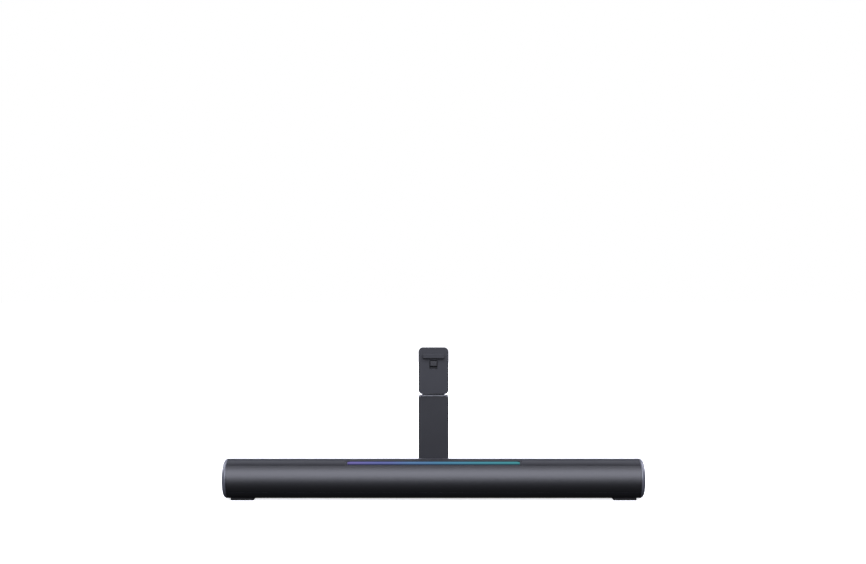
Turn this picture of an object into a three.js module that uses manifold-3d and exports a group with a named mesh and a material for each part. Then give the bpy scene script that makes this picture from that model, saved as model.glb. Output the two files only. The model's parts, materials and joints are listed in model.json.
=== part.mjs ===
// A light bar with built-in speakers that forms the foot of a monitor stand.
// Millimetres, +Z up, the bar's front faces -Y, and the desk is at Z = 0.
// The origin is on the desk, under the middle of the whole object.
import * as THREE from "three";
import { mergeVertices } from "three/addons/utils/BufferGeometryUtils.js";
import Module from "manifold-3d";

const wasm = await Module();
wasm.setup();

// ---------------------------------------------------------------- sizes
const gap = 0.3; // between pieces that touch on the real object
const seam = 0.35; // between neighbouring skins of the bar

const bar = { length: 454, radius: 21.2, wall: 1.6 };
const cap = { rim: 5.2, fillet: 4.1, dome: 1, spigotDepth: 6, spigotWall: 1.8 };
const gasket = { thickness: 1, width: 2.4 };

// Angles round the bar in degrees: 0 is the front, 90 the top, 180 the rear.
const skin = { grilleLow: -36, grilleTop: 48.6, topRear: 112 };
const light = { length: 184.6, low: 50.2, high: 66, depth: 3.6, recess: 0.25 };
const bezel = { side: 2.2, lip: 0.65, wall: 1.6 };
const lamp = { below: 2.35, board: 0.8, width: 6.4, count: 24, chip: [3, 2.2, 0.9] };
const carrier = { wall: 1.1, floor: 1.2, lap: 0.45, overhang: 3 };
const film = { length: 150, thickness: 0.4, span: 16 };

const chassis = { wall: 2, webY: 8, skinGap: 1.5, topFront: 0, lowFront: -6, endGap: 4 };

const speaker = { endGap: 3, leadRoom: 13, front: -12, wall: 1.6 };
const driver = { radius: 13, flange: 1.5, throat: 11, depth: 9, boss: 7.4, wall: 1 };
const magnet = { radius: 7, length: 5 };
const cone = { radius: 8.6, depth: 4, thickness: 0.7, cap: 3.2 };
const surround = { roll: 1.1, thickness: 0.45 };

const amp = { length: 104, height: 16, standoff: 1.1, y: 1.5, board: 1.6 };
const spreader = { length: 60, height: 12, fins: 7, plate: 1.5, fin: 1.2 };
const ports = { x: 78, boardSize: [36, 6.4, 1.6], boardZ: -3.8, inletX: -8, jackX: 9 };
const inlet = { width: 9, height: 3.3, depth: 8, wall: 0.5, floor: 1.2 };
const jack = { radius: 3, bore: 1.8, depth: 8, floor: 1.2 };
const lead = { radius: 0.9, droop: 3 };

const pad = { width: 24.7, depth: 18, drop: 1.2, inset: 9.1, corner: 0.5 };
const rearFoot = { radius: 12, chamfer: 1, stud: 3, studRise: 2.5, x: 88, y: 132 };

const plate = { low: 5, thickness: 6, halfWidth: 110, rear: 150, shoulder: 38, corner: 18 };
const tongue = { halfWidth: 55, front: -4, slot: 0.5 };
const block = { length: 96, height: 5, front: -5.5 };
const screw = { shank: 2, head: 3.6, headHeight: 2.2, rise: 7.5, socket: 1.5 };
const blockScrewX = [-36, -12, 12, 36];
const blockScrewY = 1;

const neck = { front: 73, width: 34, depth: 20, wall: 1.8, chamfer: 1.2, top: 104 };
const core = { clear: 1.2, wall: 2, proud: 1 };
const socket = { sideX: 13, sideY: 11, height: 14, screwInset: 5.5 };

const hinge = { z: 118, pin: 3, play: 0.06, ear: 3, side: 0.5, earRadius: 7 };
const pinEnd = { radius: 5, length: 1.9 };
const washer = { radius: 6.4, thickness: 1.2 };
const bracket = { plugDepth: 16, flange: 2.6 };
const knuckle = { radius: 7, armLow: 113, armHigh: 123 };
const headPlate = { low: 107, high: 160, thickness: 4, corner: 5, standoff: 3 };
const hook = { width: 24, z: 150, reach: 2.4, lip: 2.2, height: 5 };
const shroud = { wall: 1.3, low: 110, high: 127.5, rear: 14.5 };
const latch = { width: 14, thickness: 5, low: 134.5, height: 12, noseRise: 4.2, stroke: 3 };
const nose = { width: 8, height: 6, reach: 2 };
const spring = { radius: 2.1, wire: 0.35, turns: 5 };

// ---------------------------------------------------------------- derived places
const degrees = THREE.MathUtils.radToDeg;
const radians = THREE.MathUtils.degToRad;
const axisZ = bar.radius + pad.drop;
const barY = (bar.radius - plate.rear) / 2;
const inner = bar.radius - bar.wall;
const skinHalf = bar.length / 2 - cap.rim - seam;
const seamAngle = degrees(seam / bar.radius);
const plateTop = plate.low + plate.thickness;
const rearSeam =
  180 + degrees(Math.asin((axisZ - plateTop - tongue.slot) / bar.radius));
const lightMiddle = (light.low + light.high) / 2;
const chassisRear = chassis.webY + chassis.wall;
const chassisHalfHeight = Math.sqrt((inner - chassis.skinGap) ** 2 - chassisRear ** 2);
const guideInner = bar.radius - light.recess - light.depth;
const boardRadius = guideInner - lamp.below;
const blockTop = plateTop + gap + block.height;
const ampLow = blockTop + amp.standoff;
const spigotEnd = bar.length / 2 - cap.rim - cap.spigotDepth;
const speakerOuter = spigotEnd - speaker.endGap;
const speakerInner = light.length / 2 + carrier.overhang + speaker.leadRoom;
const coreWidth = neck.width - 2 * (neck.wall + core.clear);
const coreDepth = neck.depth - 2 * (neck.wall + core.clear);
const socketHalfX = coreWidth / 2 + socket.sideX;
const socketHalfY = coreDepth / 2 + socket.sideY;
const earOuter = neck.width / 2 - shroud.wall - hinge.side - pinEnd.length - gap;
const earInner = earOuter - hinge.ear;
const neckY = neck.front + neck.depth / 2;
const headFront = neck.front - headPlate.standoff - headPlate.thickness;
const headBack = headFront + headPlate.thickness;

// ---------------------------------------------------------------- finishes
const finish = (color, roughness, metalness = 0) =>
  new THREE.MeshStandardMaterial({ color, roughness, metalness });
const finishes = {
  mesh: finish(0x2b2d31, 0.75),
  shell: finish(0x3a3c42, 0.4),
  rim: finish(0x45474e, 0.35),
  light: finish(0x5f9ad8, 0.3),
  aluminium: finish(0xa9adb3, 0.4, 0.9),
  steel: finish(0x8a8d92, 0.35, 0.9),
  darkMetal: finish(0x35373d, 0.45, 0.6),
  plastic: finish(0x1c1d20, 0.6),
  board: finish(0x14512f, 0.5),
  rubber: finish(0x0c0c0d, 0.9),
  copper: finish(0xb5713c, 0.4, 0.8),
  paper: finish(0x191a1c, 0.85),
};

// ---------------------------------------------------------------- geometry helpers
function solidOf(geometry) {
  const bare = geometry.clone();
  bare.deleteAttribute("normal");
  bare.deleteAttribute("uv");
  const merged = mergeVertices(bare, 1e-4);
  const mesh = new wasm.Mesh({
    numProp: 3,
    vertProperties: merged.attributes.position.array,
    triVerts: new Uint32Array(merged.index.array),
  });
  return new wasm.Manifold(mesh);
}

function geometryOf(solid) {
  const mesh = solid.getMesh();
  const geometry = new THREE.BufferGeometry();
  geometry.setAttribute("position", new THREE.BufferAttribute(mesh.vertProperties, 3));
  geometry.setIndex(new THREE.BufferAttribute(mesh.triVerts, 1));
  const faceted = geometry.toNonIndexed();
  faceted.computeVertexNormals();
  return faceted;
}

// One body from a base geometry with others joined on and others cut away.
function combine(base, { join = [], cut = [] }) {
  let solid = solidOf(base);
  for (const extra of join) solid = solid.add(solidOf(extra));
  for (const tool of cut) solid = solid.subtract(solidOf(tool));
  return geometryOf(solid);
}

// A box between two values along each axis.
function box([x0, x1], [y0, y1], [z0, z1]) {
  const geometry = new THREE.BoxGeometry(x1 - x0, y1 - y0, z1 - z0);
  return geometry.translate((x0 + x1) / 2, (y0 + y1) / 2, (z0 + z1) / 2);
}

// Turns a geometry made along +Z so that it runs along +X, with its own X on Y and its Y on Z.
const alongX = new THREE.Matrix4().makeBasis(
  new THREE.Vector3(0, 1, 0),
  new THREE.Vector3(0, 0, 1),
  new THREE.Vector3(1, 0, 0),
);

// A section in the Y-Z plane, drawn out along X from x0 to x1.
function profileX(shape, x0, x1, curveSegments = 12) {
  const options = { depth: x1 - x0, bevelEnabled: false, curveSegments };
  return new THREE.ExtrudeGeometry(shape, options).applyMatrix4(alongX).translate(x0, 0, 0);
}

function prismZ(shape, z0, z1, curveSegments = 6) {
  const options = { depth: z1 - z0, bevelEnabled: false, curveSegments };
  return new THREE.ExtrudeGeometry(shape, options).translate(0, 0, z0);
}

// The section of a skin round the bar's axis between two angles counted up from the front.
function arcBand(rIn, rOut, from, to) {
  const start = radians(180 - to);
  const end = radians(180 - from);
  const shape = new THREE.Shape();
  shape.absarc(0, axisZ, rOut, start, end, false);
  shape.absarc(0, axisZ, rIn, end, start, true);
  return shape;
}

function roundedRect(x0, x1, y0, y1, corner) {
  const shape = new THREE.Shape();
  shape.absarc(x1 - corner, y0 + corner, corner, -Math.PI / 2, 0, false);
  shape.absarc(x1 - corner, y1 - corner, corner, 0, Math.PI / 2, false);
  shape.absarc(x0 + corner, y1 - corner, corner, Math.PI / 2, Math.PI, false);
  shape.absarc(x0 + corner, y0 + corner, corner, Math.PI, Math.PI * 1.5, false);
  return shape;
}

function lathe(points, segments) {
  const profile = points.map(([r, h]) => new THREE.Vector2(r, h));
  return new THREE.LatheGeometry(profile, segments);
}

// Round bars and holes along each axis.
function rodX(radius, x0, x1, y, z, segments = 24) {
  const rod = new THREE.CylinderGeometry(radius, radius, x1 - x0, segments);
  return rod.rotateZ(Math.PI / 2).translate((x0 + x1) / 2, y, z);
}

function rodY(radius, y0, y1, x, z, segments = 24) {
  const rod = new THREE.CylinderGeometry(radius, radius, y1 - y0, segments);
  return rod.translate(x, (y0 + y1) / 2, z);
}

function rodZ(radius, z0, z1, x, y, segments = 12) {
  const rod = new THREE.CylinderGeometry(radius, radius, z1 - z0, segments);
  return rod.rotateX(Math.PI / 2).translate(x, y, (z0 + z1) / 2);
}

// A tube of small section along a curve.
function wireAlong(curve, radius, steps, sides = 6) {
  const section = new THREE.Shape();
  for (let i = 0; i < sides; i += 1) {
    const turn = (i / sides) * Math.PI * 2;
    const point = [radius * Math.cos(turn), radius * Math.sin(turn)];
    if (i === 0) section.moveTo(...point);
    else section.lineTo(...point);
  }
  section.closePath();
  return new THREE.ExtrudeGeometry(section, { steps, extrudePath: curve });
}

// ---------------------------------------------------------------- the scene graph
const root = new THREE.Group();
const stand = new THREE.Group(); // its Y = 0 is the bar's axis
stand.position.y = barY;
root.add(stand);

function place(name, geometry, material, parent = stand) {
  const mesh = new THREE.Mesh(geometry, material);
  mesh.name = name;
  parent.add(mesh);
  return mesh;
}

const sides = [
  ["left", -1],
  ["right", 1],
];

// ---------------------------------------------------------------- the bar's skins
function barSkins() {
  const half = seamAngle / 2;
  const band = (from, to, wall = bar.wall) =>
    profileX(arcBand(bar.radius - wall, bar.radius, from, to), -skinHalf, skinHalf);
  place("front_grille", band(skin.grilleLow + half, skin.grilleTop - half), finishes.mesh);
  place("top_shell", topShell(band(skin.grilleTop + half, skin.topRear - half)), finishes.shell);
  place("rear_shell", rearShell(band(skin.topRear + half, rearSeam - half)), finishes.shell);
  place("bottom_shell", bottomShell(band(rearSeam + half - 360, skin.grilleLow - half)), finishes.shell);
}

// The top band is notched along its lower edge for the light's bezel.
function topShell(band) {
  const reach = light.length / 2 + bezel.side + gap;
  const top = light.high + bezelLipAngle() + degrees(gap / bar.radius);
  const notch = arcBand(inner - 1, bar.radius + 1, skin.grilleTop - 4, top);
  return combine(band, { cut: [profileX(notch, -reach, reach)] });
}

function bezelLipAngle() {
  return degrees(bezel.lip / bar.radius);
}

function rearShell(band) {
  const portY = [chassisRear, bar.radius + 1];
  const slotX = ports.x + ports.inletX;
  const reachX = inlet.width / 2 + gap;
  const reachZ = inlet.height / 2 + gap;
  const slot = box([slotX - reachX, slotX + reachX], portY, [portZ() - reachZ, portZ() + reachZ]);
  const hole = rodY(jack.radius + gap, ...portY, ports.x + ports.jackX, portZ());
  return combine(band, { cut: [slot, hole] });
}

// The bottom skin is notched at the rear, where the foot plate's tongue goes in.
function bottomShell(band) {
  const reach = tongue.halfWidth + tongue.slot;
  const low = plate.low - tongue.slot;
  const slot = box([-reach, reach], [0, bar.radius + 1], [low, axisZ]);
  return combine(band, { cut: [slot] });
}

// ---------------------------------------------------------------- the end caps
function capProfile() {
  const spigot = inner - gap;
  const spigotInner = spigot - cap.spigotWall;
  const shoulder = cap.rim - cap.dome - cap.fillet;
  const points = [
    [0, 0],
    [spigotInner, 0],
    [spigotInner, -cap.spigotDepth],
    [spigot, -cap.spigotDepth],
    [spigot, 0],
    [bar.radius, 0],
  ];
  for (let i = 0; i <= 4; i += 1) {
    const turn = (i / 4) * (Math.PI / 2);
    const r = bar.radius - cap.fillet + cap.fillet * Math.cos(turn);
    points.push([r, shoulder + cap.fillet * Math.sin(turn)]);
  }
  points.push([(bar.radius - cap.fillet) / 2, cap.rim - cap.dome * 0.25]);
  points.push([0, cap.rim]);
  return points;
}

function endCaps() {
  const gasketOuter = inner - gap - cap.spigotWall - gap;
  const ring = [
    [gasketOuter - gasket.width, 0],
    [gasketOuter, 0],
    [gasketOuter, gasket.thickness],
    [gasketOuter - gasket.width, gasket.thickness],
    [gasketOuter - gasket.width, 0],
  ];
  for (const [side, sign] of sides) {
    const end = place(`${side}_end_cap`, lathe(capProfile(), 36), finishes.rim);
    end.rotation.z = (-sign * Math.PI) / 2;
    end.position.set(sign * (bar.length / 2 - cap.rim), 0, axisZ);
    const seal = place(`${side}_cap_gasket`, lathe(ring, 24), finishes.rubber);
    seal.rotation.z = (-sign * Math.PI) / 2;
    seal.position.set(sign * (bar.length / 2 - cap.rim - gap - gasket.thickness), 0, axisZ);
  }
}

// ---------------------------------------------------------------- the chassis inside
function chassisSection() {
  const { wall, webY, topFront, lowFront } = chassis;
  const halfHeight = chassisHalfHeight;
  const shape = new THREE.Shape();
  shape.moveTo(lowFront, axisZ - halfHeight);
  shape.lineTo(webY + wall, axisZ - halfHeight);
  shape.lineTo(webY + wall, axisZ + halfHeight);
  shape.lineTo(topFront, axisZ + halfHeight);
  shape.lineTo(topFront, axisZ + halfHeight - wall);
  shape.lineTo(webY, axisZ + halfHeight - wall);
  shape.lineTo(webY, axisZ - halfHeight + wall);
  shape.lineTo(lowFront, axisZ - halfHeight + wall);
  shape.closePath();
  return shape;
}

function chassisBeam() {
  const half = spigotEnd - chassis.endGap;
  const reach = tongue.halfWidth + gap;
  const notchTop = Math.max(plateTop + gap, axisZ - chassisHalfHeight + chassis.wall);
  const notch = box([-reach, reach], [chassis.lowFront - 1, chassisRear + 1], [0, notchTop]);
  const beam = profileX(chassisSection(), -half, half);
  place("chassis_beam", combine(beam, { cut: [notch] }), finishes.aluminium);
}

function mountBlock() {
  const low = plateTop + gap;
  const half = block.length / 2;
  const body = box([-half, half], [block.front, chassis.webY - gap], [low, blockTop]);
  const holes = blockScrewX.map((x) => rodZ(screw.shank + gap, low - 1, blockTop + 1, x, blockScrewY));
  place("mount_block", combine(body, { cut: holes }), finishes.steel);
}

// ---------------------------------------------------------------- the light strip
// Pieces behind the strip lie square to it, in a group turned about the bar's axis:
// +Z points out of the bar.
function lightGroup() {
  const group = new THREE.Group();
  group.position.z = axisZ;
  group.rotation.x = radians(90 - lightMiddle);
  stand.add(group);
  return group;
}

function lightStrip() {
  const half = light.length / 2;
  const lip = bezelLipAngle();
  const play = degrees(gap / bar.radius) * 0.8;
  const frame = arcBand(bar.radius - bezel.wall, bar.radius, light.low - lip, light.high + lip);
  const window = arcBand(inner - 1, bar.radius + 1, light.low - play, light.high + play);
  const frameSolid = profileX(frame, -half - bezel.side, half + bezel.side);
  const windowTool = profileX(window, -half - gap, half + gap);
  place("light_bezel", combine(frameSolid, { cut: [windowTool] }), finishes.shell);
  const outer = bar.radius - light.recess;
  const guide = arcBand(outer - light.depth, outer, light.low, light.high);
  place("light_guide", profileX(guide, -half, half, 8), finishes.light);

  const group = lightGroup();
  ledBoard(group);
  lightCarrier(group);
}

function ledBoard(group) {
  const half = light.length / 2;
  const top = boardRadius + lamp.board;
  const board = box([-half, half], [-lamp.width / 2, lamp.width / 2], [boardRadius, top]);
  const [length, width, height] = lamp.chip;
  const pitch = light.length / lamp.count;
  const chips = [];
  for (let i = 0; i < lamp.count; i += 1) {
    const x = -half + pitch * (i + 0.5);
    const span = [x - length / 2, x + length / 2];
    chips.push(box(span, [-width / 2, width / 2], [top - 0.2, top + height]));
  }
  place("led_board", combine(board, { join: chips }), finishes.board, group);
}

// A trough that holds the board under the guide.
function lightCarrier(group) {
  const halfX = light.length / 2 + carrier.overhang;
  const halfY = lamp.width / 2 + gap + carrier.wall;
  const floorTop = boardRadius - gap;
  const top = guideInner + carrier.lap;
  const body = box([-halfX, halfX], [-halfY, halfY], [floorTop - carrier.floor, top]);
  const roomX = light.length / 2 + gap;
  const roomY = lamp.width / 2 + gap;
  const room = box([-roomX, roomX], [-roomY, roomY], [floorTop, top + 1]);
  place("light_carrier", combine(body, { cut: [room] }), finishes.plastic, group);
}

// A sensing film under the top band, for the sliding touch control.
function touchFilm() {
  const outer = inner - gap;
  const from = light.high + bezelLipAngle() + 6;
  const band = arcBand(outer - film.thickness, outer, from, from + film.span);
  place("touch_film", profileX(band, -film.length / 2, film.length / 2, 6), finishes.copper);
}

// ---------------------------------------------------------------- the speakers
function speakerBox(name, x) {
  const top = axisZ + chassisHalfHeight - chassis.wall - gap;
  const low = axisZ - chassisHalfHeight + chassis.wall + gap;
  const half = (speakerOuter - speakerInner) / 2;
  const back = chassis.webY - gap;
  const body = box([x - half, x + half], [speaker.front, back], [low, top]);
  const { wall } = speaker;
  const room = box(
    [x - half + wall, x + half - wall],
    [speaker.front + wall, back - wall],
    [low + wall, top - wall],
  );
  const mouth = rodY(driver.throat + gap, speaker.front - 1, speaker.front + wall + 1, x, axisZ, 24);
  place(name, combine(body, { cut: [room, mouth] }), finishes.plastic);
}

// Profiles of the driver, in radius and distance forward of the speaker box's face.
function driverFrameProfile() {
  const { radius, flange, throat, depth, boss, wall } = driver;
  const back = gap - depth;
  return [
    [boss - wall, back],
    [boss, back],
    [throat, gap - depth * 0.35],
    [throat, gap],
    [radius, gap],
    [radius, gap + flange],
    [throat, gap + flange],
    [throat - wall, gap],
    [throat - wall, gap - depth * 0.35],
    [boss - wall, back + wall * 1.5],
    [boss - wall, back],
  ];
}

function magnetProfile() {
  const back = gap - driver.depth;
  return [
    [0, back - gap - magnet.length],
    [magnet.radius, back - gap - magnet.length],
    [magnet.radius, back - gap],
    [0, back - gap],
  ];
}

const coneRim = gap + driver.flange * 0.6;

function coneProfile() {
  const { radius, depth, thickness, cap: dust } = cone;
  const neckZ = coneRim - depth;
  return [
    [0, neckZ - thickness * 2],
    [dust, neckZ - thickness * 2],
    [radius, coneRim - thickness],
    [radius, coneRim],
    [dust, neckZ],
    [dust * 0.7, neckZ + 0.8],
    [0, neckZ + 1.1],
  ];
}

// A half-roll ring between the cone and the frame.
function surroundProfile() {
  const from = cone.radius + 0.1;
  const to = driver.throat - 0.35;
  const middle = (from + to) / 2;
  const half = (to - from) / 2;
  const base = coneRim + 0.15;
  const outer = [];
  const back = [];
  for (let i = 0; i <= 4; i += 1) {
    const turn = (i / 4) * Math.PI;
    const r = middle + half * Math.cos(turn);
    outer.push([r, base + surround.thickness + surround.roll * Math.sin(turn)]);
    back.unshift([r, base + surround.roll * Math.sin(turn)]);
  }
  return [...back, ...outer, back[0]];
}

function speakers() {
  for (const [side, sign] of sides) {
    const x = (sign * (speakerOuter + speakerInner)) / 2;
    speakerBox(`${side}_speaker_box`, x);
    // The driver's own +Y turned to -Y, so that its profiles run forward.
    const group = new THREE.Group();
    group.position.set(x, speaker.front, axisZ);
    group.rotation.z = Math.PI;
    stand.add(group);
    place(`${side}_driver_frame`, lathe(driverFrameProfile(), 24), finishes.darkMetal, group);
    place(`${side}_driver_magnet`, lathe(magnetProfile(), 24), finishes.steel, group);
    place(`${side}_speaker_cone`, lathe(coneProfile(), 24), finishes.paper, group);
    place(`${side}_cone_surround`, lathe(surroundProfile(), 24), finishes.rubber, group);
    speakerLead(`${side}_speaker_lead`, sign);
  }
}

function speakerLead(name, sign) {
  const from = amp.length / 2 + gap;
  const to = speakerInner - gap;
  const y = amp.y + amp.board / 2;
  const points = [
    [from, 0],
    [from + (to - from) * 0.2, 0],
    [(from + to) / 2, -lead.droop],
    [to - (to - from) * 0.2, 0],
    [to, 0],
  ].map(([x, drop]) => new THREE.Vector3(sign * x, y, axisZ + drop));
  place(name, wireAlong(new THREE.CatmullRomCurve3(points), lead.radius, 16), finishes.copper);
}

// ---------------------------------------------------------------- the electronics
function ampBoard() {
  const low = ampLow;
  const high = low + amp.height;
  const half = amp.length / 2;
  const board = box([-half, half], [amp.y, amp.y + amp.board], [low, high]);
  const front = (x0, x1, out, z0, z1) =>
    box([x0, x1], [amp.y - out, amp.y + 0.2], [low + z0, low + z1]);
  const parts = [front(-8, 4, 1.6, 3, 12), front(10, 17, 3.2, 1.5, 8.5), front(-22, -14, 3.2, 1.5, 8.5)];
  for (const x of [-34, -28, 23, 29]) {
    parts.push(rodY(2.4, amp.y - 5, amp.y + 0.2, x, low + 5, 16));
  }
  for (const sign of [-1, 1]) {
    const x = sign * (half - 5);
    parts.push(front(x - 3.5, x + 3.5, 4, 4, 11));
  }
  place("amp_board", combine(board, { join: parts }), finishes.board);
}

// A finned plate between the board and the chassis web.
function heatSpreader() {
  const half = spreader.length / 2;
  const low = ampLow + (amp.height - spreader.height) / 2;
  const y0 = amp.y + amp.board + gap;
  const y1 = chassis.webY - gap;
  const body = box([-half, half], [y0, y0 + spreader.plate], [low, low + spreader.height]);
  const pitch = (spreader.length - spreader.fin) / (spreader.fins - 1);
  const fins = [];
  for (let i = 0; i < spreader.fins; i += 1) {
    const x = -half + pitch * i;
    fins.push(box([x, x + spreader.fin], [y0, y1], [low, low + spreader.height]));
  }
  place("heat_spreader", combine(body, { join: fins }), finishes.aluminium);
}

function portZ() {
  return axisZ + ports.boardZ + ports.boardSize[2] + gap + jack.radius;
}

function socketPorts() {
  const [length, depth, thickness] = ports.boardSize;
  const y0 = chassisRear + gap;
  const low = axisZ + ports.boardZ;
  const span = [ports.x - length / 2, ports.x + length / 2];
  const board = box(span, [y0, y0 + depth], [low, low + thickness]);
  place("port_board", board, finishes.board);

  // Both sockets end just short of the skin, each inside its own hole.
  const mouth = bar.radius - 0.9;
  const x = ports.x + ports.inletX;
  const halfW = inlet.width / 2;
  const halfH = inlet.height / 2;
  const turned = (shape, y) =>
    new THREE.ExtrudeGeometry(shape, { depth: inlet.depth, bevelEnabled: false, curveSegments: 5 })
      .rotateX(Math.PI / 2)
      .translate(x, y, portZ());
  const shell = roundedRect(-halfW, halfW, -halfH, halfH, halfH - 0.01);
  const room = roundedRect(
    -halfW + inlet.wall,
    halfW - inlet.wall,
    -halfH + inlet.wall,
    halfH - inlet.wall,
    halfH - inlet.wall - 0.01,
  );
  const blade = box(
    [x - halfW * 0.6, x + halfW * 0.6],
    [mouth - inlet.depth + inlet.floor - 0.5, mouth - 1],
    [portZ() - 0.35, portZ() + 0.35],
  );
  const tunnel = combine(turned(shell, mouth), { cut: [turned(room, mouth + inlet.floor)] });
  place("power_inlet", combine(tunnel, { join: [blade] }), finishes.steel);

  const jackX = ports.x + ports.jackX;
  const barrel = rodY(jack.radius, mouth - jack.depth, mouth, jackX, portZ());
  const bore = rodY(jack.bore, mouth - jack.depth + jack.floor, mouth + 1, jackX, portZ());
  place("audio_jack", combine(barrel, { cut: [bore] }), finishes.plastic);
}

// ---------------------------------------------------------------- feet and foot plate
function frontFeet() {
  const centre = bar.length / 2 - pad.inset - pad.width / 2;
  for (const [side, sign] of sides) {
    const x = sign * centre;
    const body = prismZ(
      roundedRect(x - pad.width / 2, x + pad.width / 2, -pad.depth / 2, pad.depth / 2, pad.corner),
      0,
      axisZ / 2,
      3,
    );
    const hollow = rodX(bar.radius + gap, x - pad.width, x + pad.width, 0, axisZ, 96);
    place(`${side}_front_foot`, combine(body, { cut: [hollow] }), finishes.rubber);
  }
}

function rearFeet() {
  const top = plate.low - gap;
  const { radius, chamfer, stud, studRise } = rearFoot;
  const profile = [
    [0, 0],
    [radius - chamfer, 0],
    [radius, chamfer],
    [radius, top],
    [stud, top],
    [stud, plate.low + studRise],
    [0, plate.low + studRise],
  ];
  for (const [side, sign] of sides) {
    const foot = place(`${side}_rear_foot`, lathe(profile, 24), finishes.rubber);
    foot.rotation.x = Math.PI / 2;
    foot.position.set(sign * rearFoot.x, rearFoot.y, 0);
  }
}

// The outline from above: a tongue under the bar that widens to the rear plate.
function plateOutline() {
  const { halfWidth, rear, shoulder, corner } = plate;
  const shape = new THREE.Shape();
  const throat = corner / 2;
  shape.moveTo(-tongue.halfWidth, tongue.front);
  shape.lineTo(tongue.halfWidth, tongue.front);
  shape.lineTo(tongue.halfWidth, shoulder - throat);
  shape.absarc(tongue.halfWidth + throat, shoulder - throat, throat, Math.PI, Math.PI / 2, true);
  shape.absarc(halfWidth - corner, shoulder + corner, corner, -Math.PI / 2, 0, false);
  shape.absarc(halfWidth - corner, rear - corner, corner, 0, Math.PI / 2, false);
  shape.absarc(corner - halfWidth, rear - corner, corner, Math.PI / 2, Math.PI, false);
  shape.absarc(corner - halfWidth, shoulder + corner, corner, Math.PI, Math.PI * 1.5, false);
  shape.absarc(-tongue.halfWidth - throat, shoulder - throat, throat, Math.PI / 2, 0, true);
  shape.closePath();
  return shape;
}

// A clearance hole with a counterbore from below.
function screwHole([x, y]) {
  const bore = rodZ(screw.shank + gap, plate.low - 1, plateTop + 1, x, y);
  const sink = rodZ(screw.head + gap, plate.low - 1, plate.low + screw.headHeight + gap, x, y);
  return [bore, sink];
}

const blockScrews = blockScrewX.map((x) => [x, blockScrewY]);
const socketScrewX = socketHalfX - socket.screwInset;
const socketScrewY = socketHalfY - socket.screwInset;
const socketScrews = [
  [-socketScrewX, neckY - socketScrewY],
  [socketScrewX, neckY - socketScrewY],
  [-socketScrewX, neckY + socketScrewY],
  [socketScrewX, neckY + socketScrewY],
];

function basePlate() {
  const tools = [...blockScrews, ...socketScrews].flatMap(screwHole);
  for (const [, sign] of sides) {
    tools.push(rodZ(rearFoot.stud + gap, plate.low - 1, plateTop + 1, sign * rearFoot.x, rearFoot.y));
  }
  const blank = prismZ(plateOutline(), plate.low, plateTop);
  place("base_plate", combine(blank, { cut: tools }), finishes.darkMetal);
}

function plateScrews() {
  const { shank, head, headHeight, rise, socket: drive } = screw;
  const profile = [
    [0, headHeight * 0.5],
    [drive, headHeight * 0.5],
    [drive, 0],
    [head, 0],
    [head, headHeight],
    [shank, headHeight],
    [shank, plate.thickness + rise - headHeight],
    [0, plate.thickness + rise - headHeight],
  ];
  const groups = [
    ["block_screw", blockScrews],
    ["socket_screw", socketScrews],
  ];
  for (const [name, spots] of groups) {
    spots.forEach(([x, y], i) => {
      const mesh = place(`${name}_${i + 1}`, lathe(profile, 10), finishes.steel);
      mesh.rotation.x = Math.PI / 2;
      mesh.position.set(x, y, plate.low);
    });
  }
}

// ---------------------------------------------------------------- the neck
function neckSocket() {
  const low = plateTop + gap;
  const { height } = socket;
  const halfX = socketHalfX;
  const halfY = socketHalfY;
  const body = prismZ(roundedRect(-halfX, halfX, neckY - halfY, neckY + halfY, 5), low, low + height, 4);
  const well = box(
    [-coreWidth / 2 - gap, coreWidth / 2 + gap],
    [neckY - coreDepth / 2 - gap, neckY + coreDepth / 2 + gap],
    [low + 2, low + height + 1],
  );
  const threads = socketScrews.map(([x, y]) => rodZ(screw.shank + gap, low - 1, low + screw.rise, x, y));
  place("neck_socket", combine(body, { cut: [well, ...threads] }), finishes.darkMetal);
}

function neckCore() {
  const low = plateTop + gap + 2 + gap;
  const high = neck.top + core.proud;
  const halfX = coreWidth / 2;
  const halfY = coreDepth / 2;
  const tube = prismZ(roundedRect(-halfX, halfX, neckY - halfY, neckY + halfY, 1.5), low, high, 3);
  const bore = box(
    [-halfX + core.wall, halfX - core.wall],
    [neckY - halfY + core.wall, neckY + halfY - core.wall],
    [low - 1, high + 1],
  );
  place("neck_core", combine(tube, { cut: [bore] }), finishes.steel);
}

// Half of the neck's cover, as a trough whose outer edges are chamfered.
function neckCover(name, sign) {
  const halfX = neck.width / 2;
  const face = neckY + (sign * neck.depth) / 2;
  const split = neckY + (sign * seam) / 2;
  const { wall, chamfer } = neck;
  const outline = [
    [halfX, split],
    [halfX, face - sign * chamfer],
    [halfX - chamfer, face],
    [-halfX + chamfer, face],
    [-halfX, face - sign * chamfer],
    [-halfX, split],
    [-halfX + wall, split],
    [-halfX + wall, face - sign * wall],
    [halfX - wall, face - sign * wall],
    [halfX - wall, split],
  ];
  const shape = new THREE.Shape(outline.map(([x, y]) => new THREE.Vector2(x, y)));
  const low = plateTop + gap + socket.height + gap;
  place(name, prismZ(shape, low, neck.top), finishes.shell);
}

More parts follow.
